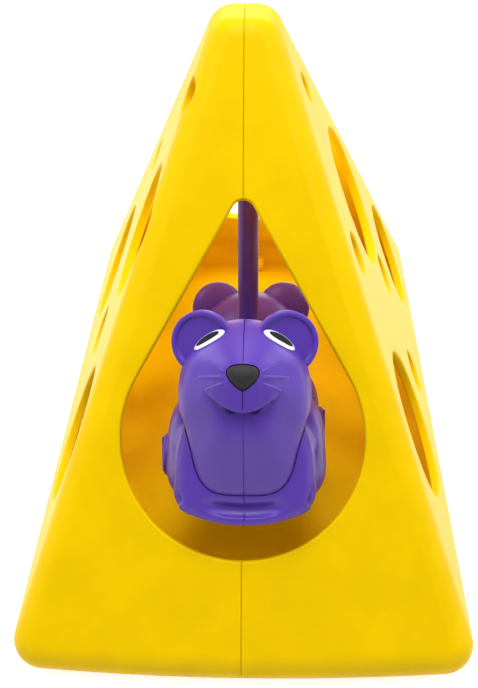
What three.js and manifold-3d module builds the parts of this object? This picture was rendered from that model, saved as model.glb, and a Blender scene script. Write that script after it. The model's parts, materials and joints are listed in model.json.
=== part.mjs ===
import * as THREE from 'three';
import { ConvexGeometry } from 'three/addons/geometries/ConvexGeometry.js';
import { mergeVertices } from 'three/addons/utils/BufferGeometryUtils.js';
import Module from 'manifold-3d';

const wasm = await Module();
wasm.setup();

// A hollow cheese wedge stands on its rind face and two mice swing inside it, back to back.
// Millimetres. X is across the toy, the front mouse faces -Y, Z is up, and the floor is Z = 0.

// Clearances
const seamGap = 0.3;
const fitGap = 0.3;
const runningGap = 0.3;
const buried = 0.8;

// Housing, given by the sharp edges before they are rounded
const baseWidth = 146;
const baseLength = 256;
const housingHeight = 162;
const ridgeWidth = 18.6;
const ridgeLength = 20.4;
const edgeRadius = 9;
const wallThickness = 3;
const faceCrown = 2.5;
const crownShares = [-1, -0.5, 0, 0.5, 1];

// Round holes in the side faces: along the base from the front corner, up the slope, and radius
const rightHoles = [
  { along: 129.7, up: 147.4, radius: 5 },
  { along: 141, up: 100, radius: 25 },
  { along: 97, up: 103.5, radius: 7 },
  { along: 185.5, up: 46, radius: 21 },
  { along: 145, up: 63, radius: 7.5 },
  { along: 77, up: 47.3, radius: 24.4 },
  { along: 121.6, up: 33.5, radius: 8 },
];
const leftHoles = [
  { along: 113.3, up: 151.9, radius: 6 },
  { along: 105, up: 107, radius: 22.5 },
  { along: 151, up: 112, radius: 5.5 },
  { along: 163, up: 56.8, radius: 22.8 },
  { along: 115.7, up: 56.9, radius: 9.2 },
  { along: 69, up: 49.4, radius: 22.3 },
];

// Axle under the ridge
const axleDrop = 13;
const axleHeight = housingHeight - axleDrop;
const axleRadius = 1.5;
const axleReach = 10;
const axleBossRadius = 4.5;
const sidePlay = 0.9;
const washerThickness = 1;
const washerRadius = 3.6;

// Hanger: eye, rod and the hub that carries both mice
const rodRadius = 3.25;
const eyeRadius = 4.6;
const hubLift = 32.5;
const hubDrop = axleHeight - hubLift;
const hubRadius = 11.5;
const spigotRadius = 6;
const flangeRadius = 8.4;
const flangeThickness = 1.5;

// Swing, in degrees from hanging straight down
const storedSwing = 27;

// Mouse: forward is the distance from the rod, drop is the distance below the axle
const shellThickness = 2.2;
const headRise = 39;
const head = { start: 24, length: 34.5, halfWidth: 19.3, top: hubDrop - headRise, height: 50.1 };
const bodyRise = 17.5;
const bodyStart = rodRadius + fitGap;
const body = { start: bodyStart, length: 42.45, halfWidth: 23.9, top: hubDrop - bodyRise, height: 37 };

// Sections along head and body, as shares: of the length, of the half width, and two of the height
const headSectionShares = [
  { forward: 0, width: 0.259, top: 0.25, bottom: 0.469 },
  { forward: 0.058, width: 0.57, top: 0.13, bottom: 0.609 },
  { forward: 0.203, width: 0.881, top: 0.03, bottom: 0.808 },
  { forward: 0.377, width: 1, top: 0, bottom: 0.978 },
  { forward: 0.536, width: 0.969, top: 0.016, bottom: 1 },
  { forward: 0.681, width: 0.839, top: 0.06, bottom: 0.938 },
  { forward: 0.812, width: 0.637, top: 0.114, bottom: 0.768 },
  { forward: 0.928, width: 0.415, top: 0.166, bottom: 0.599 },
  { forward: 1, width: 0.212, top: 0.21, bottom: 0.439 },
];
const bodySectionShares = [
  { forward: 0, width: 0.586, top: 0.149, bottom: 0.797 },
  { forward: 0.081, width: 0.795, top: 0.068, bottom: 0.919 },
  { forward: 0.234, width: 0.954, top: 0.014, bottom: 0.984 },
  { forward: 0.423, width: 1, top: 0, bottom: 1 },
  { forward: 0.623, width: 0.962, top: 0.041, bottom: 0.989 },
  { forward: 0.764, width: 0.862, top: 0.108, bottom: 1 },
  { forward: 0.882, width: 0.828, top: 0.189, bottom: 1 },
  { forward: 0.953, width: 0.787, top: 0.297, bottom: 0.989 },
  { forward: 1, width: 0.649, top: 0.486, bottom: 0.957 },
];
const headRoundness = 2;
const bodyRoundness = 3.1;
const bodyFlareShare = 0.06;

// Ears stand on the head, and the nose is sunk in its tip
const earRadius = 9.2;
const earThickness = 3.6;
const earDish = 1.3;
const earYaw = 14;
const earShares = { side: 0.6, forward: 0.464, sink: 0.67 };
const earCentre = {
  side: head.halfWidth * earShares.side,
  forward: head.start + head.length * earShares.forward,
  drop: head.top + earRadius * earShares.sink,
};
const noseSize = { halfWidth: 4.4, halfHeight: 3.7, halfDepth: 2.8 };
const noseSink = 1.1;
const noseDropShare = 0.2635;
const noseCentre = {
  forward: head.start + head.length - noseSink,
  drop: head.top + head.height * noseDropShare,
};

// Treat gate of each mouse: a dial on the flank turns a half drum over the port in the belly
const gateDropShare = 0.6135;
const gateDrop = body.top + body.height * gateDropShare;
const drumClearance = 1.7;
const drumRadius = body.top + body.height - shellThickness - gateDrop - drumClearance;
const spigotReach = body.start + fitGap + shellThickness;
const flangeEnd = spigotReach + flangeThickness;
const drumFlangeGap = 1.56;
const gateCentre = { forward: flangeEnd + drumFlangeGap + drumRadius, drop: gateDrop };
const drumThickness = 1.4;
const drumReachShare = 0.523;
const drumReach = body.halfWidth * drumReachShare;
const drumWebThickness = 1.8;
const drumStartAngle = 45;
const dialRadius = 6.5;
const dialThickness = 3.8;
const dialSink = 1.8;
const dialSeat = body.halfWidth - dialSink;
const dialReach = dialSeat + dialThickness;
const dialRimRound = 1;
const dialGripWidth = 1.6;
const dialGripHeight = 0.8;
const spindleRadius = 2.4;
const gateBossRadius = 8;
const gateBossDepth = 4;
const gateScrewRadius = 1;
const gateScrewHeadRadius = 2;
const gateScrewHeadThickness = 1.2;
const gateScrewLength = 5;
const portLength = 11;
const portWidth = 12;

// Teardrop in the front and back faces: round the stored head, with its tip under the axle
const teardropMargin = 11.8;
const teardropRadius = body.halfWidth + teardropMargin;
const teardropRise = 6.3;
const teardropTipDrop = 29;
const teardropTipRadius = 3.5;

// Pegs that locate the housing halves and the shells of each mouse
const pegRadius = 1.8;
const pegLength = 3;
const pegBossRadius = 3.4;
const pegBossLength = 4.2;
const housingPegDrop = 12;

// Fineness of the facets
const cornerSegments = 16;
const holeSegments = 32;
const smallSegments = 14;
const loftSegments = 20;
const loftSteps = 10;
const weldTolerance = 1e-4;

const yellow = new THREE.MeshStandardMaterial({ color: 0xf2c301, roughness: 0.45, metalness: 0 });
const purple = new THREE.MeshStandardMaterial({ color: 0x6a50b4, roughness: 0.42, metalness: 0 });
const black = new THREE.MeshStandardMaterial({ color: 0x2a2a2c, roughness: 0.5, metalness: 0 });
const steel = new THREE.MeshStandardMaterial({ color: 0xb4b6b8, roughness: 0.3, metalness: 1 });
const nylon = new THREE.MeshStandardMaterial({ color: 0xe8e6dc, roughness: 0.5, metalness: 0 });

const radians = THREE.MathUtils.degToRad;

// Closed geometry to solid and back
function solidOf(geometry) {
  const bare = geometry.clone();
  bare.deleteAttribute('normal');
  bare.deleteAttribute('uv');
  const welded = mergeVertices(bare, weldTolerance);
  return new wasm.Manifold(new wasm.Mesh({
    numProp: 3,
    vertProperties: new Float32Array(welded.attributes.position.array),
    triVerts: new Uint32Array(welded.index.array),
  }));
}

function geometryOf(solid) {
  const mesh = solid.getMesh();
  const geometry = new THREE.BufferGeometry();
  geometry.setAttribute('position', new THREE.BufferAttribute(mesh.vertProperties, mesh.numProp));
  geometry.setIndex(new THREE.BufferAttribute(mesh.triVerts, 1));
  geometry.computeVertexNormals();
  return geometry;
}

function named(name, solid, material) {
  const mesh = new THREE.Mesh(geometryOf(solid), material);
  mesh.name = name;
  return mesh;
}

// A block between two corners
function block(low, high) {
  const size = new THREE.Vector3().subVectors(high, low);
  const geometry = new THREE.BoxGeometry(size.x, size.y, size.z);
  const centre = new THREE.Vector3().addVectors(low, high).multiplyScalar(0.5);
  return solidOf(geometry.translate(centre.x, centre.y, centre.z));
}

// A cylinder between two points
function bar(radius, start, end, segments = smallSegments) {
  const along = new THREE.Vector3().subVectors(end, start);
  const geometry = new THREE.CylinderGeometry(radius, radius, along.length(), segments);
  const up = new THREE.Vector3(0, 1, 0);
  geometry.applyQuaternion(new THREE.Quaternion().setFromUnitVectors(up, along.clone().normalize()));
  const centre = new THREE.Vector3().addVectors(start, end).multiplyScalar(0.5);
  return solidOf(geometry.translate(centre.x, centre.y, centre.z));
}

// The part of a solid on one side of the seam at X = 0; side is -1 for left and 1 for right
function halfOf(solid, side) {
  const far = baseWidth + housingHeight;
  const near = side * seamGap / 2;
  const low = new THREE.Vector3(Math.min(near, side * far), -far, -far);
  const high = new THREE.Vector3(Math.max(near, side * far), far, far);
  return solid.intersect(block(low, high));
}

// Housing faces
const sideRun = (baseWidth - ridgeWidth) / 2;
const frontRun = (baseLength - ridgeLength) / 2;
const sideLean = Math.atan2(sideRun, housingHeight);
const frontLean = Math.atan2(frontRun, housingHeight);
const frontInset = wallThickness / Math.cos(frontLean);
const headMiddle = head.top + head.height / 2;
const teardropLevel = axleHeight - headMiddle * Math.cos(radians(storedSwing)) + teardropRise;
const teardropCentreHeight = teardropLevel / Math.cos(frontLean);
const teardropApexHeight = (axleHeight - teardropTipDrop) / Math.cos(frontLean);
const outerSideAt = (height) => baseWidth / 2 - height * Math.tan(sideLean);
const innerFrontAt = (height) => baseLength / 2 - height * Math.tan(frontLean) - frontInset;

// Distance from a sharp edge in to the centre of its rounding, at the base and at the ridge
const baseInset = (lean) => edgeRadius * (1 + Math.sin(lean)) / Math.cos(lean);
const ridgeInset = (lean) => edgeRadius * (1 - Math.sin(lean)) / Math.cos(lean);

// The wedge as the hull of balls along its edges, so that a smaller ball gives an even wall
function wedge(ballRadius) {
  const ball = new THREE.SphereGeometry(ballRadius, cornerSegments, cornerSegments / 2);
  ball.rotateX(Math.PI / 2);
  const baseHalf = baseWidth / 2 - baseInset(sideLean);
  const baseEnd = baseLength / 2 - baseInset(frontLean);
  const ridgeHalf = ridgeWidth / 2 - ridgeInset(sideLean);
  const ridgeEnd = ridgeLength / 2 - ridgeInset(frontLean);
  const centres = [];
  for (const facing of [-1, 1]) {
    for (const share of crownShares) {
      const bulge = faceCrown * (1 - share * share);
      centres.push(new THREE.Vector3(share * baseHalf, facing * (baseEnd + bulge), edgeRadius));
    }
    for (const side of [-1, 1]) {
      centres.push(new THREE.Vector3(side * ridgeHalf, facing * ridgeEnd, housingHeight - edgeRadius));
    }
  }
  const points = [];
  const corner = new THREE.Vector3();
  for (const centre of centres) {
    for (let index = 0; index < ball.attributes.position.count; index += 1) {
      corner.fromBufferAttribute(ball.attributes.position, index);
      points.push(corner.clone().add(centre));
    }
  }
  return solidOf(new ConvexGeometry(points));
}

// Teardrop prism through the front face, or the back face, square to it
function teardropCut(facing) {
  const rise = teardropApexHeight - teardropTipRadius - teardropCentreHeight;
  const lean = Math.asin((teardropRadius - teardropTipRadius) / rise);
  const outline = new THREE.Shape();
  outline.absarc(0, teardropCentreHeight, teardropRadius, Math.PI - lean, lean, false);
  outline.absarc(0, teardropCentreHeight + rise, teardropTipRadius, lean, Math.PI - lean, false);
  const reach = edgeRadius + faceCrown;
  const prism = new THREE.ExtrudeGeometry(outline, {
    depth: 2 * reach,
    bevelEnabled: false,
    curveSegments: holeSegments,
  });
  prism.translate(0, 0, -reach);
  prism.rotateX(Math.PI / 2 - frontLean);
  prism.translate(0, -baseLength / 2, 0);
  if (facing > 0) {
    prism.rotateZ(Math.PI);
  }
  return solidOf(prism);
}

// Round hole through a side face, square to it
function sideHoleCut(side, hole) {
  const upSlope = new THREE.Vector3(-side * Math.sin(sideLean), 0, Math.cos(sideLean));
  const outward = new THREE.Vector3(side * Math.cos(sideLean), 0, Math.sin(sideLean));
  const centre = new THREE.Vector3(side * baseWidth / 2, hole.along - baseLength / 2, 0);
  centre.addScaledVector(upSlope, hole.up);
  const segments = hole.radius > edgeRadius ? holeSegments : smallSegments;
  const start = centre.clone().addScaledVector(outward, edgeRadius);
  const end = centre.clone().addScaledVector(outward, -edgeRadius);
  return bar(hole.radius, start, end, segments);
}

// Where the pegs of the housing stand along the seam: low in the corners and under the ridge
function housingPegPlaces() {
  const lowHeight = wallThickness + pegBossRadius - buried;
  const lowEnd = baseLength / 2 - baseInset(frontLean);
  const highHeight = axleHeight - housingPegDrop;
  const highEnd = innerFrontAt(highHeight) - (pegBossRadius - buried) / Math.cos(frontLean);
  return [
    { facing: -1, end: lowEnd, height: lowHeight },
    { facing: 1, end: lowEnd, height: lowHeight },
    { facing: -1, end: highEnd, height: highHeight },
    { facing: 1, end: highEnd, height: highHeight },
  ];
}

// A peg stands on the left half and enters a socket in the right half
function withPeg(solid, side, place) {
  const point = (across) => new THREE.Vector3(across, place.facing * place.end, place.height);
  const seamFace = side * seamGap / 2;
  const boss = bar(pegBossRadius, point(side * pegBossLength), point(seamFace));
  const joined = solid.add(boss);
  if (side < 0) {
    return joined.add(bar(pegRadius, point(-pegLength), point(pegLength)));
  }
  return joined.subtract(bar(pegRadius + fitGap, point(-pegLength), point(pegLength + fitGap)));
}

// The eye can slide sideways on the axle pin by the side play each way before it meets a washer
const washerStart = rodRadius + sidePlay + runningGap;

function housingHalf(side) {
  const outer = wedge(edgeRadius);
  const inner = wedge(edgeRadius - wallThickness);
  const axlePoint = (across) => new THREE.Vector3(across, 0, axleHeight);
  const bossStart = washerStart + washerThickness + runningGap;
  const boss = bar(axleBossRadius, axlePoint(side * bossStart), axlePoint(side * outerSideAt(axleHeight)));
  let solid = outer.subtract(inner).add(boss.intersect(outer));
  solid = solid.subtract(bar(axleRadius + fitGap, axlePoint(0), axlePoint(side * (axleReach + fitGap))));
  for (const facing of [-1, 1]) {
    solid = solid.subtract(teardropCut(facing));
  }
  for (const hole of side > 0 ? rightHoles : leftHoles) {
    solid = solid.subtract(sideHoleCut(side, hole));
  }
  solid = halfOf(solid, side);
  for (const place of housingPegPlaces()) {
    solid = withPeg(solid, side, place);
  }
  return solid;
}

// Swing frame: the axle is the origin, the front mouse faces -Y and the rod hangs down -Z
const swingPoint = (side, forward, drop) => new THREE.Vector3(side, -forward, -drop);

function washer(side) {
  const start = side * washerStart;
  const end = start + side * washerThickness;
  const ring = bar(washerRadius, swingPoint(start, 0, 0), swingPoint(end, 0, 0));
  return ring.subtract(bar(axleRadius + runningGap, swingPoint(-end, 0, 0), swingPoint(2 * end, 0, 0)));
}

function hanger() {
  const hub = (forward) => swingPoint(0, forward, hubDrop);
  const across = (radius, reach) => bar(radius, swingPoint(-reach, 0, 0), swingPoint(reach, 0, 0));
  const through = (radius, reach) => bar(radius, hub(-reach), hub(reach));
  const flange = through(flangeRadius, flangeEnd)
    .subtract(through(flangeRadius + fitGap, spigotReach));
  return bar(rodRadius, swingPoint(0, 0, 0), hub(0))
    .add(across(eyeRadius, rodRadius))
    .add(through(hubRadius, rodRadius))
    .add(through(spigotRadius, flangeEnd))
    .add(flange)
    .subtract(across(axleRadius + runningGap, 2 * rodRadius));
}

// A section between the given ones, on a smooth curve through them
function sectionAt(form, shares, place) {
  const read = (key) => {
    const points = shares.map((section, index) => new THREE.Vector3(section[key], index, 0));
    return new THREE.CatmullRomCurve3(points, false, 'catmullrom').getPoint(place).x;
  };
  return {
    forward: form.start + form.length * read('forward'),
    halfWidth: form.halfWidth * read('width'),
    top: form.top + form.height * read('top'),
    bottom: form.top + form.height * read('bottom'),
  };
}

// A closed skin over rounded sections that follow each other along the mouse; inset shrinks it all round
function loft(form, shares, roundness, flareShare, inset) {
  const positions = [];
  const indices = [];
  const rings = [];
  const backEnd = form.start + inset;
  const frontEnd = form.start + form.length - inset;
  for (let step = 0; step <= loftSteps; step += 1) {
    const section = sectionAt(form, shares, step / loftSteps);
    const ring = [];
    const middle = (section.top + section.bottom) / 2;
    const halfHeight = Math.max((section.bottom - section.top) / 2 - inset, shellThickness / 2);
    const halfWidth = Math.max(section.halfWidth - inset, shellThickness / 2);
    let forward = Math.min(Math.max(section.forward, backEnd), frontEnd);
    if (step === 0) {
      forward = backEnd;
    } else if (step === loftSteps) {
      forward = frontEnd;
    }
    if (rings.length && forward <= rings[rings.length - 1].forward) {
      continue;
    }
    for (let segment = 0; segment < loftSegments; segment += 1) {
      const angle = 2 * Math.PI * segment / loftSegments;
      const round = (value) => Math.sign(value) * Math.abs(value) ** (2 / roundness);
      const low = round(Math.sin(angle));
      const side = halfWidth * round(Math.cos(angle)) * (1 + flareShare * low);
      const point = swingPoint(side, forward, middle + halfHeight * low);
      ring.push(positions.length / 3);
      positions.push(point.x, point.y, point.z);
    }
    rings.push({ forward, middle, ring });
  }
  for (let index = 1; index < rings.length; index += 1) {
    for (let segment = 0; segment < loftSegments; segment += 1) {
      const next = (segment + 1) % loftSegments;
      const [a, b] = [rings[index - 1].ring[segment], rings[index - 1].ring[next]];
      const [c, d] = [rings[index].ring[segment], rings[index].ring[next]];
      indices.push(a, d, b, a, c, d);
    }
  }
  for (const end of [rings[0], rings[rings.length - 1]]) {
    const hub = positions.length / 3;
    const point = swingPoint(0, end.forward, end.middle);
    positions.push(point.x, point.y, point.z);
    for (let segment = 0; segment < loftSegments; segment += 1) {
      const next = (segment + 1) % loftSegments;
      const pair = [end.ring[segment], end.ring[next]];
      indices.push(hub, ...(end === rings[0] ? pair : pair.reverse()));
    }
  }
  const geometry = new THREE.BufferGeometry();
  geometry.setAttribute('position', new THREE.Float32BufferAttribute(positions, 3));
  geometry.setIndex(indices);
  return solidOf(geometry);
}

const headLoft = (inset) => loft(head, headSectionShares, headRoundness, 0, inset);
const bodyLoft = (inset) => loft(body, bodySectionShares, bodyRoundness, bodyFlareShare, inset);

// Round ear with a rim and a shallow dish in front
function ear(side) {
  const half = earThickness / 2;
  const profile = [
    new THREE.Vector2(0, -half),
    new THREE.Vector2(earRadius - half, -half),
    new THREE.Vector2(earRadius, 0),
    new THREE.Vector2(earRadius - half / 2, half),
    new THREE.Vector2(earRadius - half, half),
    new THREE.Vector2(earRadius - 2 * half, half - earDish),
    new THREE.Vector2(0, half - earDish),
  ];
  const geometry = new THREE.LatheGeometry(profile, holeSegments / 2);
  geometry.rotateX(Math.PI);
  geometry.rotateZ(side * radians(earYaw));
  const centre = swingPoint(side * earCentre.side, earCentre.forward, earCentre.drop);
  geometry.translate(centre.x, centre.y, centre.z);
  return solidOf(geometry);
}

function noseButton(grow) {
  const width = noseSize.halfWidth + grow;
  const geometry = new THREE.SphereGeometry(width, smallSegments, smallSegments / 2);
  geometry.scale(1, (noseSize.halfDepth + grow) / width, (noseSize.halfHeight + grow) / width);
  const centre = swingPoint(0, noseCentre.forward, noseCentre.drop);
  geometry.translate(centre.x, centre.y, centre.z);
  return solidOf(geometry);
}

function headHalf(side) {
  const shell = headLoft(0).subtract(headLoft(shellThickness));
  return halfOf(shell.add(ear(side)).subtract(noseButton(fitGap)), side);
}

// A bar across the mouse on the axis of its gate
function gateBar(radius, start, end, segments = smallSegments) {
  const centre = [gateCentre.forward, gateCentre.drop];
  return bar(radius, swingPoint(start, ...centre), swingPoint(end, ...centre), segments);
}

// The dial sits on the left flank, and the drum's far end turns on a stub of the right shell
function bodyHalf(side) {
  const outer = bodyLoft(0);
  const cavity = bodyLoft(shellThickness);
  const bossEnd = dialSeat - gateBossDepth;
  const boss = gateBar(gateBossRadius, side * bossEnd, side * dialReach).intersect(outer);
  const spigot = bar(
    spigotRadius + fitGap,
    swingPoint(0, 0, hubDrop),
    swingPoint(0, rodRadius + fitGap + 2 * shellThickness, hubDrop),
  );
  const port = block(
    swingPoint(-portWidth / 2, gateCentre.forward + portLength / 2, body.top + body.height + buried),
    swingPoint(portWidth / 2, gateCentre.forward - portLength / 2, gateCentre.drop),
  );
  let solid = outer.subtract(cavity).add(boss).subtract(spigot).subtract(port).subtract(headLoft(-fitGap));
  if (side < 0) {
    solid = solid
      .subtract(gateBar(dialRadius + fitGap, -dialSeat, -2 * dialReach))
      .subtract(gateBar(spindleRadius + runningGap, -bossEnd + fitGap, -dialReach));
  } else {
    solid = solid.add(gateBar(spindleRadius, bossEnd + buried, drumReach - drumWebThickness));
  }
  return halfOf(solid, side);
}

// Turned knob with a raised grip across it, and the spindle that carries the drum
function dial() {
  const knobStart = -(dialSeat + runningGap);
  const knobEnd = -(dialReach - dialGripHeight);
  const rim = gateBar(dialRadius, knobStart, knobEnd + dialRimRound, holeSegments / 2);
  const cap = gateBar(dialRadius - dialRimRound, knobStart, knobEnd, holeSegments / 2);
  const gripReach = dialRadius - dialRimRound;
  const grip = block(
    swingPoint(-dialReach, gateCentre.forward + dialGripWidth / 2, gateCentre.drop + gripReach),
    swingPoint(knobEnd + buried, gateCentre.forward - dialGripWidth / 2, gateCentre.drop - gripReach),
  );
  const spindle = gateBar(spindleRadius, knobStart - buried, -(drumReach - drumWebThickness));
  const threadHole = gateBar(gateScrewRadius + fitGap, -drumReach - gateScrewLength, 0);
  return rim.add(cap).add(grip).add(spindle).subtract(threadHole);
}

// Half drum with a web at each end, open on the other half
function drum() {
  const webReach = drumReach - drumWebThickness;
  const hollow = gateBar(drumRadius - drumThickness, -webReach, webReach, holeSegments);
  const tube = gateBar(drumRadius, -drumReach, drumReach, holeSegments).subtract(hollow);
  const opening = new THREE.BoxGeometry(2 * webReach, 2 * drumRadius, 2 * drumRadius);
  opening.translate(0, -drumRadius, 0);
  opening.rotateX(-radians(drumStartAngle));
  const centre = swingPoint(0, gateCentre.forward, gateCentre.drop);
  opening.translate(centre.x, centre.y, centre.z);
  return tube.subtract(solidOf(opening))
    .subtract(gateBar(spindleRadius + runningGap, -2 * drumReach, 2 * drumReach));
}

function gateScrew() {
  const headStart = -(drumReach - drumWebThickness - fitGap);
  const screwHead = gateBar(gateScrewHeadRadius, headStart, headStart + gateScrewHeadThickness);
  return screwHead.add(gateBar(gateScrewRadius, headStart - gateScrewLength, headStart + buried));
}

function mouse(prefix) {
  const group = new THREE.Group();
  group.add(
    named(`${prefix}_head_left`, headHalf(-1), purple),
    named(`${prefix}_head_right`, headHalf(1), purple),
    named(`${prefix}_body_left`, bodyHalf(-1), purple),
    named(`${prefix}_body_right`, bodyHalf(1), purple),
    named(`${prefix}_nose`, noseButton(0), black),
    named(`${prefix}_dial`, dial(), purple),
    named(`${prefix}_gate_drum`, drum(), purple),
    named(`${prefix}_gate_screw`, gateScrew(), steel),
  );
  return group;
}

const swing = new THREE.Group();
swing.position.set(sidePlay, 0, axleHeight);
swing.rotation.x = -radians(storedSwing);
const frontMouse = mouse('front');
const rearMouse = mouse('rear');
rearMouse.rotation.z = Math.PI;
swing.add(named('hanger', hanger(), purple), frontMouse, rearMouse);

const axle = bar(axleRadius, swingPoint(-axleReach, 0, 0), swingPoint(axleReach, 0, 0));
const carrier = new THREE.Group();
carrier.position.set(0, 0, axleHeight);
carrier.add(
  named('axle_pin', axle, steel),
  named('washer_left', washer(-1), nylon),
  named('washer_right', washer(1), nylon),
);

const toy = new THREE.Group();
toy.add(
  named('housing_left', housingHalf(-1), yellow),
  named('housing_right', housingHalf(1), yellow),
  carrier,
  swing,
);

export default toy;
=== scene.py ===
"""A cheese wedge cat toy in which two mice swing back to back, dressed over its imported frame.

Metres. X is across the toy, the front mouse faces -Y, Z is up and the floor is Z = 0.
"""

import json
import math

import bmesh
import bpy
import numpy as np
from mathutils import Matrix, Vector
from mathutils.bvhtree import BVHTree


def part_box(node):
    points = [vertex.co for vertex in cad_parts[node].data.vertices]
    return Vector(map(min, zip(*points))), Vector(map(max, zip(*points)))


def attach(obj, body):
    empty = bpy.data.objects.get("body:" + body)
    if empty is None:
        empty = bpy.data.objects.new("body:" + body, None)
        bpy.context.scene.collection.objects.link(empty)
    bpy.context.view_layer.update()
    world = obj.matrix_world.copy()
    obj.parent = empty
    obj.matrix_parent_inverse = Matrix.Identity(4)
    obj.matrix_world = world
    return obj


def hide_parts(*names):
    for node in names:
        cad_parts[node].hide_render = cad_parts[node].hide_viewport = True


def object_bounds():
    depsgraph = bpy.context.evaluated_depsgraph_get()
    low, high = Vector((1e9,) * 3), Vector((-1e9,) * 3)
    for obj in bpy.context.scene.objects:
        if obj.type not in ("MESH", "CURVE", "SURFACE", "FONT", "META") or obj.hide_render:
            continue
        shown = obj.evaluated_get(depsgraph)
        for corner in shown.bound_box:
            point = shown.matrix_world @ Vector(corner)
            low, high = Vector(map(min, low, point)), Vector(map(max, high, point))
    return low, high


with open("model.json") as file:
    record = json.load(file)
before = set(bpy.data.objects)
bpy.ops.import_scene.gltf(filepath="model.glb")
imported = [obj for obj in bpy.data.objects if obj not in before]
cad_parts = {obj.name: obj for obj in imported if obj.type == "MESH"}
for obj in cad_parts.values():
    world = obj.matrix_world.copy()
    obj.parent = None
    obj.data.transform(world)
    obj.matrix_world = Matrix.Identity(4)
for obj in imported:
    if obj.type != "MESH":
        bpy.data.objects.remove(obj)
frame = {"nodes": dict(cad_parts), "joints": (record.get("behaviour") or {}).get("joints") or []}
CAD_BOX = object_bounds()
MM = 0.001

# Housing, given by the sharp edges before they are rounded
BASE_WIDTH = 146 * MM
BASE_LENGTH = 256 * MM
HEIGHT = CAD_BOX[1][2]
RIDGE_WIDTH = 18.6 * MM
RIDGE_LENGTH = 20.4 * MM
EDGE_RADIUS = 9 * MM
WALL = 3 * MM
FACE_CROWN = 2.49 * MM
RIM_RADIUS = 0.8 * MM
RIM_ANGLES = (80, 65, 50, 35, 20, 0)
CROWN_STEPS = 13
HOLE_SEGMENTS = {"large": 128, "small": 64}

# Teardrop of the front and back faces, measured up the slope from the base edge
TEARDROP_RADIUS = 35.7 * MM
TEARDROP_CENTRE = 79 * MM
TEARDROP_APEX = 148.4 * MM
TEARDROP_TIP_RADIUS = 3.5 * MM

# Round holes in the side faces: along the base from the front corner, up the slope, and radius
RIGHT_HOLES = [
    (129.7 * MM, 147.4 * MM, 5 * MM),
    (141 * MM, 100 * MM, 25 * MM),
    (97 * MM, 103.5 * MM, 7 * MM),
    (185.5 * MM, 46 * MM, 21 * MM),
    (145 * MM, 63 * MM, 7.5 * MM),
    (77 * MM, 47.3 * MM, 24.4 * MM),
    (121.6 * MM, 33.5 * MM, 8 * MM),
]
LEFT_HOLES = [
    (113.3 * MM, 151.9 * MM, 6 * MM),
    (105 * MM, 107 * MM, 22.5 * MM),
    (151 * MM, 112 * MM, 5.5 * MM),
    (163 * MM, 56.8 * MM, 22.8 * MM),
    (115.7 * MM, 56.9 * MM, 9.2 * MM),
    (69 * MM, 49.4 * MM, 22.3 * MM),
]

# Axle, washers and the bosses that hold them
AXLE_RADIUS = 1.5 * MM
AXLE_BOSS_RADIUS = 4.5 * MM
AXLE_REACH = 10 * MM
WASHER_THICKNESS = 1 * MM
WASHER_RADIUS = 3.6 * MM
WASHER_ROUNDING = 0.25 * MM
PEG_RADIUS = 1.8 * MM
PEG_LENGTH = 3 * MM
PEG_ROUNDING = AXLE_RADIUS / 4
PEG_BOSS_RADIUS = 3.4 * MM
PEG_BOSS_LENGTH = 4.2 * MM
PEG_DROP = 12 * MM

# Hanger
ROD_RADIUS = 3.25 * MM
EYE_RADIUS = 4.6 * MM
HUB_DROP = 116.5 * MM
HUB_RADIUS = 11.5 * MM
SPIGOT_RADIUS = 6 * MM
FLANGE_RADIUS = 8.4 * MM
FLANGE_THICKNESS = 1.5 * MM
HUB_ROUNDING = 0.5 * MM
FLANGE_ROUNDING = 0.4 * MM

# Mouse sections: forward of the rod, half width, top and bottom as drops below the axle
SHELL = 2.2 * MM
HEAD_SECTIONS = np.array([
    (24, 5, 90, 101),
    (26, 11, 84, 108),
    (31, 17, 79, 118),
    (37, 18.7, 77.5, 126.5),
    (42.5, 18.3, 78.3, 128),
    (47.5, 16.6, 80.5, 125.4),
    (52, 12.3, 83.2, 116),
    (56, 8, 85.8, 107.5),
    (58.5, 4.1, 88, 99.5),
]) * MM
BODY_SECTIONS = np.array([
    (3.55, 14, 104.5, 128.5),
    (7, 19, 101.5, 133),
    (13.5, 22.8, 99.5, 135.4),
    (21.5, 23.9, 99, 136),
    (30, 23, 100.5, 135.6),
    (36, 20.6, 103, 136),
    (40, 20.4, 103.6, 136),
    (43, 19.6, 105.2, 135.8),
    (45, 18, 107.5, 135.6),
    (46.2, 15.6, 110, 135.2),
    (46.7, 12.4, 113, 134.6),
]) * MM
# Each section's shape. roundness is how square it is above and below its middle (2 is an ellipse), flare
# how much wider it gets downwards above and below its middle, taper how much narrower it gets within
# TAPER_REACH below its middle, and keel how far its bottom rises at the sides.
HEAD_FORM = {"roundness": (2, 3.6), "flare": (-0.16, 0), "taper": 0.15, "keel": 0}
BODY_FORM = {"roundness": (3.1, 4.6), "flare": (0.05, 0.05), "taper": 0, "keel": 3.2 * MM}
TAPER_REACH = 0.3
HEAD_BULGE = 0.7 * MM
BODY_BULGE = 0.3 * MM
OVERSAMPLING = 8

# Points round a section and steps along it
HEAD_MESH = (320, 260)
BODY_MESH = (240, 160)
CORE_MESH = (240, 110)
NECK_MESH = (160, 80)
INNER_MESH = (96, 60)

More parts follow.
